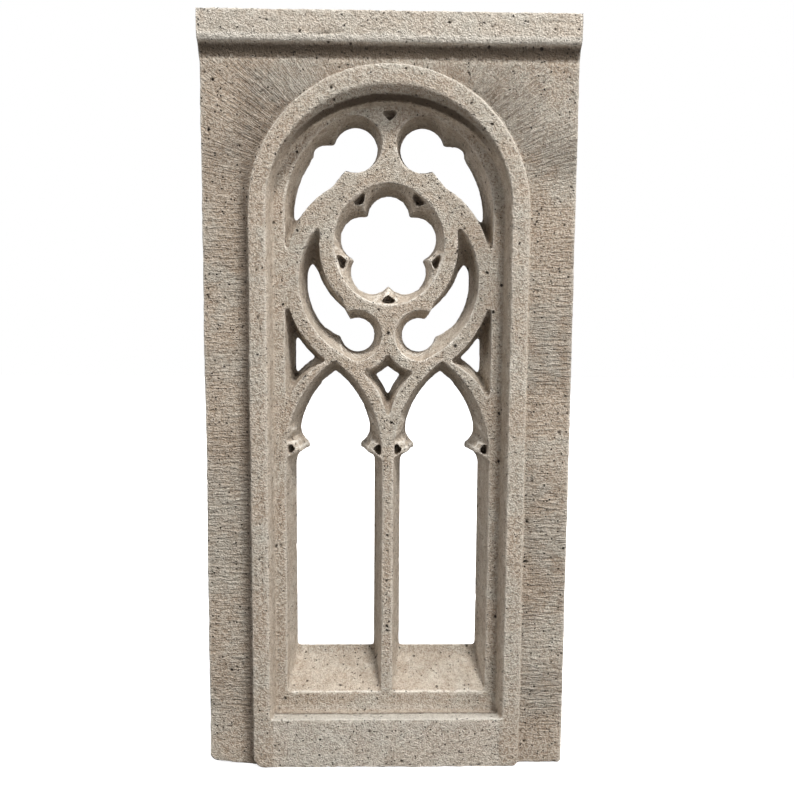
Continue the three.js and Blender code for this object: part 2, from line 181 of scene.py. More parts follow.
# %% Soften the arrises
co = np.empty(len(stone.data.vertices) * 3, np.float32)
stone.data.vertices.foreach_get("co", co)
co = co.reshape(-1, 3).astype(float)
edges = np.empty(len(stone.data.edges) * 2, np.int32)
stone.data.edges.foreach_get("vertices", edges)
first, second = edges.reshape(-1, 2).T
around = np.bincount(first, minlength=len(co)) + np.bincount(second, minlength=len(co))


def neighbour_mean(values):
    total = [
        np.bincount(first, column[second], len(co)) + np.bincount(second, column[first], len(co))
        for column in values.T
    ]
    return np.array(total).T / around[:, None]


def point_normals(mesh, points):
    mesh.vertices.foreach_set("co", points.astype(np.float32).ravel())
    mesh.update()
    normals = np.empty(len(points) * 3, np.float32)
    mesh.vertex_normals.foreach_get("vector", normals)
    return normals.reshape(-1, 3).astype(float)


def smoothed(points, rounds, amount):
    for _ in range(rounds):
        points = points + amount * (neighbour_mean(points) - points)
    return points


BROAD_ROUNDS = 9
SOFT_ROUNDS = 4
ARRIS_BULGE = (0.0001, 0.0010)
EDGE_BULGE = (0.00006, 0.00040)
CORNER_HOLLOW = (0.0001, 0.0012)
TRACERY_HALF = 0.145
TRACERY_FRONT = (-0.036, -0.030)

normals = point_normals(stone.data, co)
flat_y = co[:, 1].copy()
broad = smoothed(co, BROAD_ROUNDS, 0.6)
bulge = np.einsum("ij,ij->i", co - broad, normals)
arris = ramp(bulge, *ARRIS_BULGE)
inner = ramp(flat_y, *TRACERY_FRONT) * ramp(TRACERY_HALF - np.abs(co[:, 0]), 0, 0.01)
edge = ramp(bulge * (1 + 0.9 * inner), *EDGE_BULGE)
corner = smoothed(ramp(-bulge, *CORNER_HOLLOW)[:, None], 3, 0.7)[:, 0]
uneven = drift(co, 0.03, 11)
co = smoothed(co, 2, (0.25 + 0.5 * uneven)[:, None])
co = smoothed(co, SOFT_ROUNDS, (arris * inner * (0.3 + 0.5 * uneven))[:, None])
print("arris points:", int((arris > 0.5).sum()), "corner points:", int((corner > 0.5).sum()))

# %% [markdown]
# The flat face of the slab was dressed with a comb chisel before the mould was taken. Its teeth
# leave level grooves down the jambs, and they fan out round the arch in the upper corners. One
# coordinate runs along a stroke and one across it, so one pattern makes both.

# %% Comb marks on the slab
SLAB_FACE = -0.032
BAND_HALF = 0.1505
SPRINGING = 0.6195
CAP_FOOT = 0.774
FAN_REACH = 0.3
GROOVE_PITCH = 0.0034
GROOVE_DEPTH = 0.0010
STROKE_LENGTH = 0.022
LEFT_JAMB_PRESSURE = 0.60
ARCH_GAIN = 0.8
ARCH_RISE = 0.06
FOOT_FADE = (0.015, 0.06)

facing = -normals[:, 1]
above = np.maximum(co[:, 2] - SPRINGING, 0)
from_band = np.hypot(co[:, 0], above) - BAND_HALF
face = (
    ramp(facing, 0.75, 0.95)
    * ramp(-np.abs(flat_y - SLAB_FACE), -0.0022, -0.0010)
    * ramp(from_band, 0.0005, 0.004)
    * ramp(CAP_FOOT - co[:, 2], 0.0, 0.004)
)
turned = np.where(
    above > 0, np.arctan2(above, np.abs(co[:, 0])) * FAN_REACH, co[:, 2] - SPRINGING
)
along = np.where(above > 0, np.hypot(co[:, 0], above), np.abs(co[:, 0]))
side = np.sign(co[:, 0]) * 0.5
stroke = np.stack([along / STROKE_LENGTH, turned / GROOVE_PITCH, side], axis=1)
wander = drift(co, 0.018, 21) - 0.5
teeth = 0.5 - 0.5 * np.cos(2 * np.pi * (stroke[:, 1] + 1.3 * wander))
streaks = ramp(drift(stroke * (1.0, 1.25, 1.0), 1.0, 22), 0.2, 0.8)
pressure = ramp(drift(co, 0.045, 23), 0.2, 0.75)
pressure *= np.where((co[:, 0] < 0) & (above == 0), LEFT_JAMB_PRESSURE, 1.0)
face *= 0.15 + 0.85 * ramp(co[:, 2], *FOOT_FADE)
comb = face * (0.15 + 0.85 * pressure) * (0.45 * teeth * drift(stroke, 1.0, 24) + 0.65 * streaks)
comb *= 1 + ARCH_GAIN * ramp(above, 0.0, ARCH_RISE)
print("slab face points:", int((face > 0.5).sum()))

# %% [markdown]
# Pores, chips and a slow unevenness come next. All of them only take stone away, so the window
# never grows past the solid. Pores are bubbles that stayed in the mix, and they are deepest on
# the front. The splays left the mould less even, so they rise and sink a little more, and the
# face of the cap is the roughest. Chips sit on the arrises, which are struck first.

# %% Pores, chips and a slow unevenness
PORE_KINDS = (
    # cell, chance, radius, depth share, seed
    (0.0070, 0.30, 0.0015, 1.1, 31),
    (0.0150, 0.26, 0.0022, 1.0, 32),
    (0.0450, 0.22, 0.0040, 0.6, 33),
)
SWELLS = (
    # size, seed
    (0.050, 53),
    (0.010, 54),
    (0.005, 56),
)
SWELL_DEPTH = 0.0004
CAP_SWELL_DEPTH = 0.0011
SHAKE = 0.0011
CHIP_DEPTH = 0.0022
NIBBLE_DEPTH = 0.0007
GRIT_DEPTH = 0.0004
SIDE_WALL = (0.19, 0.198)
BACK_LEFT_FLAT = (-0.0405, -0.0385)

front = ramp(facing, 0.45, 0.9)
open_ground = 0.35 + 0.65 * front
side_wall = ramp(np.abs(normals[:, 0]), 0.6, 0.9) * ramp(np.abs(co[:, 0]), *SIDE_WALL)
carved = ramp(-flat_y, *BACK_LEFT_FLAT) * (1 - 0.7 * side_wall)
jitter = np.stack([drift(co, 0.0022, 41 + axis) - 0.5 for axis in range(3)], axis=1)
shaken = co + SHAKE * jitter
pore = np.zeros(len(co))
for cell, chance, radius, depth_share, seed in PORE_KINDS:
    pore = np.maximum(pore, depth_share * pores(shaken, cell, chance, radius, seed))
cap_edge = 1 + 0.6 * ramp(co[:, 2], 0.785, 0.790)
chip = cap_edge * arris * CHIP_DEPTH * ramp(drift(co, 0.009, 51), 0.62, 0.95)
nibble = arris * NIBBLE_DEPTH * drift(co, 0.0035, 52)
swell = sum(SWELL_DEPTH * drift(co, size, seed) for size, seed in SWELLS)
swell *= 1 + 0.7 * (1 - front)
cap_face = CAP_SWELL_DEPTH * ramp(co[:, 2], 0.79, 0.795) * front
swell += cap_face * drift(co * (0.6, 1, 1), 0.0042, 57)
grit = GRIT_DEPTH * drift(co, 0.0024, 55)
print("points in a pore:", int((pore > 0.0003).sum()))

# %% [markdown]
# A few blows have a place of their own: pits down the jambs and on the cap, and a scrape low on
# the cap. The rail lies a hair behind the band. Every depth is known by now, so all of them are
# added up and taken off in one cut, along the direction in which each point looks.

# %% Blows, the rail and the cut
RAIL_HALF = 0.1275
RAIL_TOP = 0.0585
RAIL_SINK = 0.0012
BLOWS = (
    # x, z, half length, half height, depth, lean in degrees
    (-0.0672, 0.7968, 0.0240, 0.0024, 0.0016, 5),
    (-0.1834, 0.4070, 0.0070, 0.0012, 0.0012, -55),
    (-0.1856, 0.7523, 0.0022, 0.0026, 0.0028, 0),
    (-0.1906, 0.7015, 0.0024, 0.0024, 0.0026, 20),
    (-0.1348, 0.7408, 0.0018, 0.0016, 0.0020, 0),
    (-0.1640, 0.7364, 0.0016, 0.0018, 0.0020, 0),
    (-0.0612, 0.7432, 0.0026, 0.0022, 0.0022, 0),
    (-0.1731, 0.4528, 0.0022, 0.0016, 0.0020, 10),
    (-0.1737, 0.1110, 0.0018, 0.0026, 0.0026, 0),
    (-0.1680, 0.1145, 0.0020, 0.0022, 0.0026, 0),
    (-0.0955, 0.0600, 0.0038, 0.0022, 0.0026, -15),
    (0.1534, 0.2361, 0.0036, 0.0020, 0.0030, 15),
    (0.1960, 0.2509, 0.0030, 0.0022, 0.0030, 30),
    (0.1546, 0.2815, 0.0024, 0.0024, 0.0028, -30),
    (0.1636, 0.0851, 0.0016, 0.0026, 0.0024, 10),
    (0.1570, 0.0265, 0.0018, 0.0018, 0.0024, 0),
    (-0.0195, 0.0425, 0.0034, 0.0020, 0.0022, 10),
    (0.0175, 0.0070, 0.0030, 0.0018, 0.0022, 0),
    (0.0610, 0.8095, 0.0026, 0.0022, 0.0024, 0),
    (0.1050, 0.8060, 0.0018, 0.0016, 0.0020, 0),
    (0.1420, 0.8110, 0.0020, 0.0016, 0.0020, 0),
    (0.1710, 0.8040, 0.0016, 0.0018, 0.0020, 0),
    (-0.0100, 0.8075, 0.0018, 0.0014, 0.0020, 0),
)


def blow(points, x, z, length, height, depth, lean):
    """How deep one blow goes at each point, in metres."""
    turn = math.radians(lean)
    dx = points[:, 0] - x
    dz = points[:, 2] - z
    far = np.hypot(
        (dx * math.cos(turn) + dz * math.sin(turn)) / length,
        (dz * math.cos(turn) - dx * math.sin(turn)) / height,
    )
    return depth * ramp(1 - far, 0, 0.75)


struck = np.zeros(len(co))
for mark in BLOWS:
    struck = np.maximum(struck, blow(shaken, *mark))
struck *= front * ramp(-flat_y, 0.029, 0.031)
rail = ramp(RAIL_HALF - np.abs(co[:, 0]), 0, 0.0012) * ramp(RAIL_TOP - co[:, 2], -0.003, 0)
sunk = RAIL_SINK * rail * ramp(-flat_y, 0.030, 0.034) * ramp(facing, 0.2, 0.6)
wear = GROOVE_DEPTH * comb + open_ground * pore + swell + grit + struck + sunk
cut = carved * wear + chip + nibble
co = co - cut[:, None] * normals
print("deepest cut", round(1000 * cut.max(), 2), "mm")

# %% [markdown]
# Handling wears the outside of a block. The long outer edges are a little ragged, the lower
# corners of the slab are knocked off, and the left foot is worn short. The foot of the band is
# round, and its outer edge rolls over, most of all on the left of the arch. An edge is rounded by
# drawing the points outside a quarter circle back onto it. Round the arch the same helper gets
# the distance from the arch's centre in the place of x, so the rolled edge follows the curve.

# %% Ragged sides, worn corners and the rolled band
RAGGED = 0.0012
RAGGED_FINE = 0.0007
SIDE_EDGE = (0.192, 0.2)
SIDE_TOP = 0.78

ragged_left = RAGGED * drift(co * (0, 0, 1), 0.06, 61)
ragged_left += RAGGED_FINE * drift(co * (0, 1, 1), 0.009, 62)
ragged_right = 0.5 * RAGGED * drift(co * (0, 1, 1), 0.012, 63)
below_cap = ramp(SIDE_TOP - co[:, 2], 0, 0.01)
co[:, 0] += below_cap * ragged_left * ramp(-co[:, 0], *SIDE_EDGE)
co[:, 0] -= below_cap * ragged_right * ramp(co[:, 0], *SIDE_EDGE)


def round_edge(points, where, first_way, second_way, radius, seed):
    """Rounds an edge, unevenly along its length. A way is (axis, direction, place of the face)."""
    (a, sign_a, face_a), (b, sign_b, face_b) = first_way, second_way
    along_edge = points * [float(axis not in (a, b)) for axis in range(3)]
    size = radius * (0.6 + 0.8 * drift(along_edge, 0.02, seed))
    da = points[:, a] * sign_a - (face_a - size)
    db = points[:, b] * sign_b - (face_b - size)
    reach = np.hypot(da, db)
    outside = where & (da > 0) & (db > 0) & (reach > size)
    shrink = np.where(outside, size / np.maximum(reach, 1e-9), 1)
    points[:, a] = np.where(outside, sign_a * (face_a - size + da * shrink), points[:, a])
    points[:, b] = np.where(outside, sign_b * (face_b - size + db * shrink), points[:, b])


X, Y, Z = 0, 1, 2
BAND_FACE = -0.041
DOWN = (Z, -1, 0.0)
FOOT_WEAR = 0.0045
FOOT_HEIGHT = 0.03
ROLL_LEFT = (0.0012, 0.0048)
ROLL_RIGHT = (0.0026, 0.0010)
ROLL_REACH = 0.012

beside_band = np.abs(co[:, 0]) > BAND_HALF + 0.001
band_depth = flat_y < SLAB_FACE - 0.0005
left_share = ramp(-co[:, 0], 0.150, 0.200)
worn_foot = FOOT_WEAR * left_share * ramp(-flat_y, -0.02, 0.02)
lifted = worn_foot + co[:, 2] * (1 - worn_foot / FOOT_HEIGHT)
co[:, 2] = np.where(co[:, 2] < FOOT_HEIGHT, lifted, co[:, 2])
round_edge(co, beside_band, (X, -1, cad_high[0]), (Z, -1, -FOOT_WEAR), 0.013, 71)
round_edge(co, beside_band, (X, 1, cad_high[0]), DOWN, 0.008, 72)
round_edge(co, beside_band, (Y, -1, -SLAB_FACE), DOWN, 0.004, 73)
round_edge(co, band_depth, (X, -1, BAND_HALF), DOWN, 0.013, 74)
round_edge(co, band_depth, (X, 1, BAND_HALF), DOWN, 0.012, 75)
round_edge(co, band_depth, (Y, -1, -BAND_FACE), DOWN, 0.0035, 76)

over_springing = np.maximum(co[:, 2] - SPRINGING, 0)
radial = np.maximum(np.hypot(co[:, 0], over_springing), 1e-6)
rolled = np.stack([radial, co[:, 1], turned], axis=1)
on_arch = ramp(over_springing, 0.0, 0.05)
roll_left = ROLL_LEFT[0] + ROLL_LEFT[1] * on_arch
roll_right = ROLL_RIGHT[0] + ROLL_RIGHT[1] * on_arch
roll = np.where(co[:, 0] < 0, roll_left, roll_right)
band_edge = band_depth & (radial > BAND_HALF - ROLL_REACH)
band_edge &= (co[:, 2] > ROLL_REACH) & (co[:, 2] < CAP_FOOT)
round_edge(rolled, band_edge, (X, 1, BAND_HALF), (Y, -1, -BAND_FACE), roll, 77)
pull = rolled[:, 0] / radial
co[:, 0] *= pull
co[:, 1] = rolled[:, 1]
co[:, 2] += over_springing * (pull - 1)
co = np.clip(co, cad_low, cad_high)
print("points along the band's edge:", int(band_edge.sum()))

# %% [markdown]
# Shade is painted into the colour where the lamps give little light: in the hollow under the cap,
# on the return round the arch, on chamfers that face down, on the floors of the small sunk eyes,
# on the strip of slab left of the band, as its painted shadow, and at the back of the ledge. The
# front of the cap and the rail are a little paler, and the ledge and the lip of the cap get a
# painted highlight. Each of these places is a product of soft steps, so one measure fades into the
# stone round it without a line.

# %% Painted shade and painted highlights
COVE_TOP = 0.7895
HOLLOW_BACK = 0.0185
EYE_FLOOR = -0.006
LEDGE_HALF = 0.1285
LEDGE_TOP = 0.068
LIP_TOP = 0.7985
BAND_SHADOW_REACH = 0.015
BAND_SHADOW_LEFT = 0.88
BAND_SHADOW_LOST_ABOVE = 0.78
BAND_SHADOW_RIGHT = 0.05

# Painted shade under the cap, on the return round the arch and on the chamfer where it faces down.
downward = -normals[:, 2]
cove = ramp(co[:, 2], 0.7735, 0.7755) * ramp(COVE_TOP - co[:, 2], 0, 0.003)
cove *= ramp(-flat_y, 0.029, 0.031) * ramp(0.0415 + flat_y, 0, 0.001)
under_arch = ramp(downward, 0.45, 0.85) * ramp(-flat_y, HOLLOW_BACK, HOLLOW_BACK + 0.001)
under_arch *= ramp(0.0365 + flat_y, 0, 0.002)
under_chamfer = ramp(downward, 0.15, 0.55) * ramp(-flat_y, 0.0325, 0.0345)
under_chamfer *= ramp(0.0405 + flat_y, 0, 0.001) * ramp(COVE_TOP - co[:, 2], 0.017, 0.02)
# Painted shade on the floors of the small sunk eyes.
eye_floor = ramp(facing, 0.85, 0.97) * ramp(flat_y, EYE_FLOOR, EYE_FLOOR + 0.002)
eye_floor *= ramp(co[:, 2], 0.2, 0.22)
# Painted shadow of the band on the slab to its left, fading above the springing; almost none on the
# right.
band_shadow_left = BAND_SHADOW_LEFT - BAND_SHADOW_LOST_ABOVE * ramp(above, 0.0, ARCH_RISE)
beside = np.where(co[:, 0] < 0, band_shadow_left, BAND_SHADOW_RIGHT)
beside = beside * ramp(BAND_SHADOW_REACH - from_band, 0, 0.014)
beside *= (
    ramp(0.0325 + flat_y, -0.0005, 0.0005)
    * ramp(facing, 0.3, 0.7)
    * ramp(from_band, -0.003, -0.001)
)
# Painted shade in the corner at the back of the ledge.
in_ledge = ramp(LEDGE_HALF - np.abs(co[:, 0]), 0, 0.002)
ledge_back = ramp(co[:, 2], 0.051, 0.052) * ramp(0.0605 - co[:, 2], 0, 0.001)
ledge_back *= in_ledge * ramp(flat_y, -0.0225, -0.0205)
ledge_back *= ramp(-flat_y, 0.0165, 0.0175)
# Every place of painted shade in one measure.
painted_shade = np.maximum.reduce(
    [cove, under_arch, 0.45 * under_chamfer, eye_floor, beside, 0.75 * ledge_back])
# The front of the cap and the rail are a little paler.
cap_or_rail = ramp(co[:, 2], COVE_TOP, COVE_TOP + 0.004) + rail
# Painted highlight on the ledge, which faces up.
ledge = ramp(normals[:, 2], 0.4, 0.8) * ramp(LEDGE_TOP - co[:, 2], 0, 0.003)
ledge *= ramp(-flat_y, 0.0185, 0.0205) * in_ledge
# Painted highlight on the lip of the cap.
lip = ramp(co[:, 2], COVE_TOP - 0.001, COVE_TOP + 0.001) * ramp(LIP_TOP - co[:, 2], 0, 0.003)
lip *= ramp(-flat_y, 0.0375, 0.0385)
rolled_edge = ramp(0.006 - np.abs(from_band), 0, 0.002)
print("sheltered points:", int((painted_shade > 0.5).sum()))

# %% [markdown]
# The measures become attributes of the mesh, so the material can read them: besides the painted
# shade and the pale places with their painted highlights, the worn arrises, which get a painted
# highlight where they face up, the corners, the pores and the tooled ground. The rolled edge of the
# band counts as less worn, because it is no longer sharp. Then the mesh is thinned.
# Collapsing keeps small faces where the surface turns and merges them where it is flat, which
# puts the detail where it shows. It can push a point a hair past the solid's box, so the points
# are held inside it once more.

# %% Keep the measures and thin the mesh
MOST_TRIANGLES = 192000

point_normals(stone.data, co)
MEASURES = {
    "painted_shade": painted_shade,
    # Paler cap front and rail, and painted highlights on the ledge and on the lip of the cap.
    "pale": np.maximum.reduce([0.32 * front * np.minimum(cap_or_rail, 1), ledge, 0.8 * lip]),
    # Worn arrises, with a painted highlight that grows where they face up.
    "worn_and_lit": edge * (0.3 + 0.7 * ramp(normals[:, 2], -0.1, 0.3)) * (1 - 0.55 * rolled_edge),
    "corner": corner,
    "pore": np.maximum(ramp(pore, 0.0003, 0.0014), ramp(struck, 0.0014, 0.0024)),
    "comb": comb,
    "tooled": face * (0.35 + 0.65 * pressure),
    "front": front,
    "along": along,
    "across": turned + np.where(co[:, 0] < 0, 1.0, 0.0),
}
for label, values in MEASURES.items():
    layer = stone.data.attributes.new(label, "FLOAT", "POINT")
    layer.data.foreach_set("value", values.astype(np.float32))
triangles = sum(len(polygon.vertices) - 2 for polygon in stone.data.polygons)
thin = stone.modifiers.new("thin", "DECIMATE")
thin.ratio = min(1, MOST_TRIANGLES / triangles)
thin.use_collapse_triangulate = True
settle(stone)
kept = np.empty(len(stone.data.vertices) * 3, np.float32)
stone.data.vertices.foreach_get("co", kept)
point_normals(stone.data, np.clip(kept.reshape(-1, 3), cad_low, cad_high))
stone.data.shade_smooth()
print("stone:", len(stone.data.polygons), "triangles, from", triangles)

# %% [markdown]
# Four effects are shared by both finishes of the stone, so each is a node group: mottle, grain,
# fine pores and edge wear, which also carries a painted highlight on arrises that face up. A group
# has named inputs, and gives back only values, which every material then uses in its own way.

# %% Node helpers
def new_group(name, inputs, outputs):
    """An empty shader node group with float inputs {name: value} and float outputs."""
    group = bpy.data.node_groups.new(name, "ShaderNodeTree")
    for label, value in inputs.items():
        socket = group.interface.new_socket(label, in_out="INPUT", socket_type="NodeSocketFloat")
        socket.default_value = value
    for label in outputs:
        group.interface.new_socket(label, in_out="OUTPUT", socket_type="NodeSocketFloat")
    return group, group.nodes.new("NodeGroupInput"), group.nodes.new("NodeGroupOutput")


def put(tree, kind, settings=None, **sockets):
    """Adds a node, sets its options, and sets or links its inputs by name."""
    node = tree.nodes.new(kind)
    for key, value in (settings or {}).items():
        setattr(node, key, value)
    for key, value in sockets.items():
        numbered = key[0] == "n" and key[1:].isdigit()
        socket = node.inputs[int(key[1:]) if numbered else key]
        if isinstance(value, bpy.types.NodeSocket):
            tree.links.new(value, socket)
        else:
            socket.default_value = value
    return node


def calc(tree, operation, a, b=0.0, clamp=False):
    node = put(tree, "ShaderNodeMath", {"operation": operation, "use_clamp": clamp}, n0=a, n1=b)
    return node.outputs[0]


def remap(tree, value, low, high, to_low=0.0, to_high=1.0):
    """The soft step again, as a node."""
    node = tree.nodes.new("ShaderNodeMapRange")
    node.interpolation_type = "SMOOTHSTEP"
    tree.links.new(value, node.inputs["Value"])
    ends = {"From Min": low, "From Max": high, "To Min": to_low, "To Max": to_high}
    for key, number in ends.items():
        if isinstance(number, bpy.types.NodeSocket):
            tree.links.new(number, node.inputs[key])
        else:
            node.inputs[key].default_value = number
    return node.outputs["Result"]


def place_of(tree):
    return tree.nodes.new("ShaderNodeTexCoord").outputs["Object"]


def noise(tree, scale, detail=2.0, rough=0.5, warp=0.0):
    node = put(tree, "ShaderNodeTexNoise", None, Vector=place_of(tree), Scale=scale, Detail=detail,
               Roughness=rough, Distortion=warp)
    return node.outputs["Fac"]


# %% [markdown]
# Mottle is the slow change from grey to a pinkish buff, grain is the sand in the mix, and fine
# pores are the pinholes too small to carve. A Voronoi texture gives every pore a cell and a
# random number, and the number decides whether that cell has a hole, and how wide.

# %% Shared stone effects
def make_mottle():
    group, inside, outside = new_group("stone_mottle", {"Scale": 14.0}, ["Broad", "Spots"])
    broad_noise = noise(group, inside.outputs["Scale"], 3.0, 0.55, 0.4)
    spots_scale = calc(group, "MULTIPLY", inside.outputs["Scale"], 4.5)
    group.links.new(remap(group, broad_noise, 0.39, 0.61), outside.inputs["Broad"])
    spots_noise = noise(group, spots_scale, 3.0, 0.6)
    group.links.new(remap(group, spots_noise, 0.3, 0.7), outside.inputs["Spots"])
    return group


def make_grain():
    group, inside, outside = new_group("stone_grain", {"Scale": 420.0}, ["Shade", "Height"])
    fine = noise(group, inside.outputs["Scale"], 2.0, 0.6)
    coarse = noise(group, calc(group, "MULTIPLY", inside.outputs["Scale"], 0.4), 2.0, 0.6)
    fine_part = calc(group, "MULTIPLY", fine, 0.6)
    coarse_part = calc(group, "MULTIPLY", coarse, 0.4)
    both = calc(group, "ADD", fine_part, coarse_part)
    group.links.new(remap(group, both, 0.38, 0.60), outside.inputs["Shade"])
    group.links.new(both, outside.inputs["Height"])
    return group


def make_pores():
    group, inside, outside = new_group(
        "fine_pores", {"Scale": 260.0, "Amount": 0.3, "Width": 0.4}, ["Mask"])
    place = place_of(group)
    push = put(group, "ShaderNodeTexNoise", None, Vector=place, Scale=520.0, Detail=1.0)
    shift = put(group, "ShaderNodeVectorMath", {"operation": "MULTIPLY_ADD"},
                n0=push.outputs["Color"], n1=(0.0022, 0.0022, 0.0022), n2=place)
    cells = put(group, "ShaderNodeTexVoronoi", {"feature": "F1"}, Vector=shift.outputs[0],
                Scale=inside.outputs["Scale"], Randomness=1.0)
    chance = put(group, "ShaderNodeSeparateColor", None, Color=cells.outputs["Color"])
    there = calc(group, "LESS_THAN", chance.outputs["Red"], inside.outputs["Amount"])
    width = calc(group, "MULTIPLY", inside.outputs["Width"],
                 calc(group, "ADD", calc(group, "MULTIPLY", chance.outputs["Green"], 0.7), 0.3))
    inner = calc(group, "MULTIPLY", width, 0.45)
    bowl = remap(group, cells.outputs["Distance"], inner, width, 1.0, 0.0)
    group.links.new(calc(group, "MULTIPLY", bowl, there), outside.inputs["Mask"])
    return group


def make_wear_and_highlight():
    group, inside, outside = new_group("edge_wear_and_highlight", {"Edge": 0.0, "Amount": 1.0}, ["Mask"])
    broken = remap(group, noise(group, 160.0, 3.0, 0.6), 0.3, 0.5)
    mask = calc(group, "MULTIPLY", calc(group, "MULTIPLY", inside.outputs["Edge"], broken),
                inside.outputs["Amount"], clamp=True)
    group.links.new(mask, outside.inputs["Mask"])
    return group


GROUPS = {
    "mottle": make_mottle(),
    "grain": make_grain(),
    "pores": make_pores(),
    "wear": make_wear_and_highlight(),
}
print("node groups:", [group.name for group in GROUPS.values()])

# %% [markdown]
# The finest comb strokes are thinner than the mesh can hold. The material draws them with the
# two coordinates kept on the mesh, stretched far more along the stroke than across it.

# %% Fine comb strokes
def make_strokes():
    group, inside, outside = new_group(
        "comb_strokes", {"Along": 0.0, "Across": 0.0, "Fineness": 330.0}, ["Height"])
    steps = calc(group, "MULTIPLY", inside.outputs["Along"], 60.0)
    rows = calc(group, "MULTIPLY", inside.outputs["Across"], inside.outputs["Fineness"])
    at = put(group, "ShaderNodeCombineXYZ", None, X=steps, Y=rows)
    streak = put(group, "ShaderNodeTexNoise", None, Vector=at.outputs[0], Scale=1.0, Detail=3.0,
                 Roughness=0.6, Distortion=0.25)
    group.links.new(remap(group, streak.outputs["Fac"], 0.3, 0.7), outside.inputs["Height"])
    return group


GROUPS["strokes"] = make_strokes()
print("one more node group:", GROUPS["strokes"].name)

# %% [markdown]
# The stone's own material mixes a grey-buff ground with a pinkish brown one, lightens it on worn
# arrises, with a painted highlight on those that face up, and on grains of sand, and darkens it
# in pores and corners, where the dark is painted shade. It also paints shade into the comb grooves,
# the hollows and the strip left of the band, and paints highlights on the ledge and the cap's lip.
# The bump carries only what is finer than the mesh. Stone has no gloss, so the roughness stays
# high all over.

# %% Stone material
def use(tree, key, **values):
    node = tree.nodes.new("ShaderNodeGroup")
    node.node_tree = GROUPS[key]
    for label, value in values.items():
        if isinstance(value, bpy.types.NodeSocket):
            tree.links.new(value, node.inputs[label])
        else:
            node.inputs[label].default_value = value
    return node


def measure(tree, label):
    return put(tree, "ShaderNodeAttribute", {"attribute_name": label}).outputs["Fac"]


def tint(tree, share, base, colour, kind="MIX"):
    """Mixes colour into base by a share from 0 to 1."""
    node = tree.nodes.new("ShaderNodeMix")
    node.data_type = "RGBA"
    node.blend_type = kind
    for place, value in ((0, share), (6, base), (7, colour)):
        if isinstance(value, bpy.types.NodeSocket):
            tree.links.new(value, node.inputs[place])
        else:
            node.inputs[place].default_value = value
    return node.outputs[2]


GREY_BUFF = (0.515, 0.475, 0.405, 1)
PINK_BUFF = (0.450, 0.338, 0.245, 1)
SPLAY_BUFF = (0.790, 0.700, 0.590, 1)
SPLAY_STAIN = (0.410, 0.300, 0.210, 1)
TOOLED_BUFF = (0.410, 0.300, 0.208, 1)
PALE_BUFF = (0.820, 0.780, 0.705, 1)
PALE_GRAIN = (0.760, 0.720, 0.650, 1)
ARRIS_WEAR_AND_HIGHLIGHT = (0.900, 0.850, 0.770, 1)
SAND_DARK = (0.200, 0.155, 0.115, 1)
PORE_SHADE = (0.035, 0.028, 0.022, 1)
CREASE_SHADE = (0.150, 0.110, 0.080, 1)
SHADE_BROWN = (0.100, 0.076, 0.055, 1)


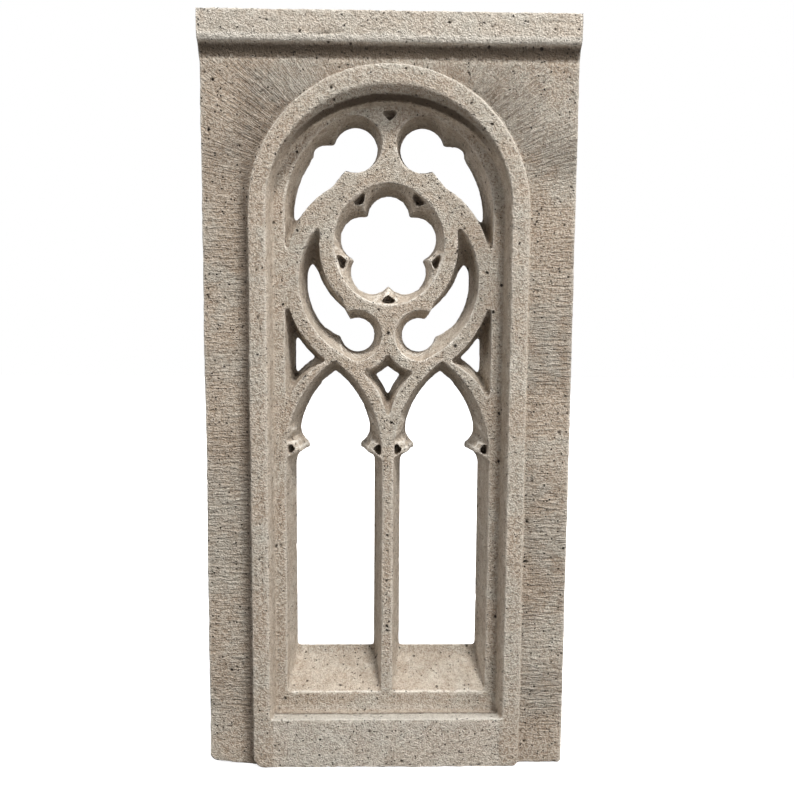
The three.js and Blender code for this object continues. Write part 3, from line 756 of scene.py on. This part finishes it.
def make_stone(name, pore_amount, grain_share, bump_height, tooled):
    material = bpy.data.materials.new(name)
    material.use_nodes = True
    tree = material.node_tree
    tree.nodes.clear()
    front_mask = measure(tree, "front")
    ground = calc(tree, "ADD", calc(tree, "MULTIPLY", front_mask, 0.25), 0.75)
    mottle = use(tree, "mottle", Scale=17.0)
    grain = use(tree, "grain", Scale=560.0)
    small = use(tree, "pores", Scale=300.0, Amount=pore_amount, Width=0.40)
    large = use(tree, "pores", Scale=120.0, Amount=pore_amount * 0.6, Width=0.28)
    wear = use(tree, "wear", Edge=measure(tree, "worn_and_lit"), Amount=1.0)
    holes = calc(tree, "MAXIMUM", small.outputs["Mask"], large.outputs["Mask"])
    holes = calc(tree, "MAXIMUM", calc(tree, "MULTIPLY", holes, ground), measure(tree, "pore"))
    pink = calc(tree, "SUBTRACT", 1.0, calc(tree, "MULTIPLY", front_mask, 0.30))
    colour = tint(tree, calc(tree, "MULTIPLY", mottle.outputs["Broad"], pink), GREY_BUFF, PINK_BUFF)
    colour = tint(tree, calc(tree, "MULTIPLY", mottle.outputs["Spots"], 0.45), colour, PINK_BUFF)
    side_mask = calc(tree, "SUBTRACT", 1.0, front_mask)
    colour = tint(tree, calc(tree, "MULTIPLY", side_mask, 0.7), colour, SPLAY_BUFF)
    side_stain = calc(tree, "MULTIPLY", side_mask, mottle.outputs["Spots"])
    colour = tint(tree, calc(tree, "MULTIPLY", side_stain, 0.55), colour, SPLAY_STAIN)
    # Paler cap front and rail, with painted highlights on the ledge and on the cap's lip.
    colour = tint(tree, measure(tree, "pale"), colour, PALE_BUFF)
    height = grain.outputs["Height"]
    if tooled:
        worked = measure(tree, "tooled")
        strokes = use(tree, "strokes", Along=measure(tree, "along"), Across=measure(tree, "across"))
        stain = remap(tree, mottle.outputs["Broad"], 0.0, 1.0, 0.15, 1.0)
        colour = tint(tree, calc(tree, "MULTIPLY", worked, stain), colour, TOOLED_BUFF)
        drawn = calc(tree, "MULTIPLY", strokes.outputs["Height"], worked)
        colour = tint(tree, calc(tree, "MULTIPLY", drawn, 0.34), colour, PALE_GRAIN)
        # Painted shade in the comb grooves.
        groove = calc(tree, "MULTIPLY", measure(tree, "comb"), 0.42)
        colour = tint(tree, groove, colour, CREASE_SHADE)
        height = calc(tree, "ADD", height, calc(tree, "MULTIPLY", drawn, 0.7))
        left_bare = calc(tree, "SUBTRACT", 1.0, calc(tree, "MULTIPLY", worked, 0.35))
        grain_share = calc(tree, "MULTIPLY", grain_share, left_bare)
    sand = calc(tree, "MULTIPLY", ground, grain_share)
    light_sand = calc(tree, "MULTIPLY", grain.outputs["Shade"], calc(tree, "MULTIPLY", sand, 0.9))
    colour = tint(tree, light_sand, colour, PALE_GRAIN)
    dark = calc(tree, "SUBTRACT", 1.0, grain.outputs["Shade"])
    colour = tint(tree, calc(tree, "MULTIPLY", dark, sand), colour, SAND_DARK)
    # Painted shade in the corners.
    colour = tint(tree, calc(tree, "MULTIPLY", measure(tree, "corner"), 0.7), colour, CREASE_SHADE)
    # Painted shade in a dark brown: under the cap, round the arch, in the eyes, at the ledge and as
    # the band's shadow.
    colour = tint(tree, calc(tree, "MULTIPLY", measure(tree, "painted_shade"), 0.95), colour, SHADE_BROWN)
    # Pale worn arrises, with a painted highlight on those that face up.
    colour = tint(tree, wear.outputs["Mask"], colour, ARRIS_WEAR_AND_HIGHLIGHT)
    # Pores and the deep parts of blows painted dark as shade.
    colour = tint(tree, calc(tree, "MULTIPLY", holes, 0.92), colour, PORE_SHADE)
    height = calc(tree, "SUBTRACT", height, calc(tree, "MULTIPLY", holes, 1.2))
    bump = put(tree, "ShaderNodeBump", None, Strength=1.0, Distance=bump_height, Height=height)
    shader = put(tree, "ShaderNodeBsdfPrincipled", None, Roughness=0.92,
                 Normal=bump.outputs["Normal"])
    tree.links.new(colour, shader.inputs["Base Color"])
    shader.inputs["Specular IOR Level"].default_value = 0.2
    output = tree.nodes.new("ShaderNodeOutputMaterial")
    tree.links.new(shader.outputs["BSDF"], output.inputs["Surface"])
    return material


dressed = make_stone("dressed_stone", 0.30, 0.44, 0.0060, True)
plain = make_stone("mould_side_stone", 0.12, 0.30, 0.0012, False)
print("materials:", dressed.name, plain.name)

# %% [markdown]
# The dressed finish covers the front, the sides and every splay, the plainer one the back and
# the foot, which were cast against flat boards. Each face picks its finish by where it lies.

# %% Give each face its finish
BOARD_SKIN = 0.0012

stone.data.materials.clear()
stone.data.materials.append(dressed)
stone.data.materials.append(plain)
centres = np.empty(len(stone.data.polygons) * 3, np.float32)
stone.data.polygons.foreach_get("center", centres)
centres = centres.reshape(-1, 3)
behind = (centres[:, 1] > cad_high[1] - BOARD_SKIN) | (centres[:, 2] < BOARD_SKIN)
stone.data.polygons.foreach_set("material_index", behind.astype(np.int32))
stone.data.update()
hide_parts("gothic_window")
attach(stone, "root")
print("faces with the plain finish:", int(behind.sum()))

# %% [markdown]
# A pale floor keeps the eye on the stone. The camera sees it near white, but the light that
# bounces off it is that of a mid-grey studio floor. A white one would light the undersides from
# below and flatten the carving.

# %% Floor
FLOOR_SEEN = (0.93, 0.93, 0.93, 1)
FLOOR_BOUNCE = (0.16, 0.155, 0.15, 1)
FLOOR_HALF = 6.0
NEAR_GLOW = 0.80
FAR_GLOW = 1.10
GLOW_REACH = (0.3, 0.9)


def make_floor():
    net = bmesh.new()
    half = FLOOR_HALF
    corners = [(-half, -half), (half, -half), (half, half), (-half, half)]
    net.faces.new([net.verts.new((x, y, 0)) for x, y in corners])
    mesh = bpy.data.meshes.new("pale_floor")
    net.to_mesh(mesh)
    net.free()
    material = bpy.data.materials.new("pale_floor")
    material.use_nodes = True
    tree = material.node_tree
    tree.nodes.clear()
    seen = put(tree, "ShaderNodeBsdfPrincipled", None, Roughness=0.95)
    seen.inputs["Base Color"].default_value = FLOOR_SEEN
    seen.inputs["Specular IOR Level"].default_value = 0.0
    seen.inputs["Emission Color"].default_value = (1, 1, 1, 1)
    reach = put(tree, "ShaderNodeVectorMath", {"operation": "LENGTH"}, n0=place_of(tree))
    glow = remap(tree, reach.outputs["Value"], *GLOW_REACH, NEAR_GLOW, FAR_GLOW)
    tree.links.new(glow, seen.inputs["Emission Strength"])
    bounce = put(tree, "ShaderNodeBsdfDiffuse", None, Color=FLOOR_BOUNCE)
    rays = tree.nodes.new("ShaderNodeLightPath")
    mixed = put(tree, "ShaderNodeMixShader", None, n0=rays.outputs["Is Camera Ray"],
                n1=bounce.outputs[0], n2=seen.outputs[0])
    output = tree.nodes.new("ShaderNodeOutputMaterial")
    tree.links.new(mixed.outputs[0], output.inputs["Surface"])
    mesh.materials.append(material)
    plane = bpy.data.objects.new("pale_floor", mesh)
    scene.collection.objects.link(plane)
    return plane


print("floor:", make_floor().name)

# %% [markdown]
# The main light is broad and hangs in front, high up and to the right, so ledges shine, the cap
# shades the slab, and the band throws a soft shadow to its left. Two broad lights from the sides
# keep the deep splays readable and leave what looks down in the dark, and a weak low one opens
# the undersides a bit. One more behind shows the plain back when the window is turned round. The
# surround is white to the eye and gives only a little light, so the shadows stay deep.

# %% Lights
STONE_MIDDLE = (0, 0, 0.4)
SURROUND_LIGHT = 0.07
WARM_WHITE = (1.0, 0.985, 0.96)
SOFT_WHITE = (1.0, 0.985, 0.97)
COOL_WHITE = (1.0, 0.99, 0.98)


def soft_light(name, at, size, power, colour):
    """A round area light that looks at the middle of the stone."""
    lamp = bpy.data.lights.new(name, "AREA")
    lamp.shape = "DISK"
    lamp.size = size
    lamp.energy = power
    lamp.color = colour
    lamp_object = bpy.data.objects.new(name, lamp)
    direction = np.array(STONE_MIDDLE) - np.array(at)
    lamp_object.location = at
    spin = math.atan2(direction[1], direction[0]) - math.pi / 2
    drop = math.atan2(direction[2], math.hypot(direction[0], direction[1]))
    lamp_object.rotation_euler = (math.pi / 2 + drop, 0, spin)
    scene.collection.objects.link(lamp_object)


soft_light("key", (0.85, -2.30, 4.05), 1.0, 203, WARM_WHITE)
soft_light("right_side", (1.90, -1.20, 1.30), 1.2, 28, WARM_WHITE)
soft_light("left_side", (-2.55, -1.45, 1.15), 1.6, 22, SOFT_WHITE)
soft_light("low_front", (0.9, -2.8, 0.5), 1.6, 18, COOL_WHITE)
soft_light("behind", (-1.5, 2.6, 1.7), 1.6, 32, COOL_WHITE)

world = bpy.data.worlds.new("white_surround")
world.use_nodes = True
scene.world = world
tree = world.node_tree
tree.nodes.clear()
lighting = put(tree, "ShaderNodeBackground", None, Color=(1, 1, 1, 1), Strength=SURROUND_LIGHT)
seen = put(tree, "ShaderNodeBackground", None, Color=(1, 1, 1, 1), Strength=1.0)
rays = tree.nodes.new("ShaderNodeLightPath")
mixed = put(tree, "ShaderNodeMixShader", None, n0=rays.outputs["Is Camera Ray"],
            n1=lighting.outputs[0], n2=seen.outputs[0])
surround = tree.nodes.new("ShaderNodeOutputWorld")
tree.links.new(mixed.outputs[0], surround.inputs["Surface"])
scene.view_settings.view_transform = "Standard"
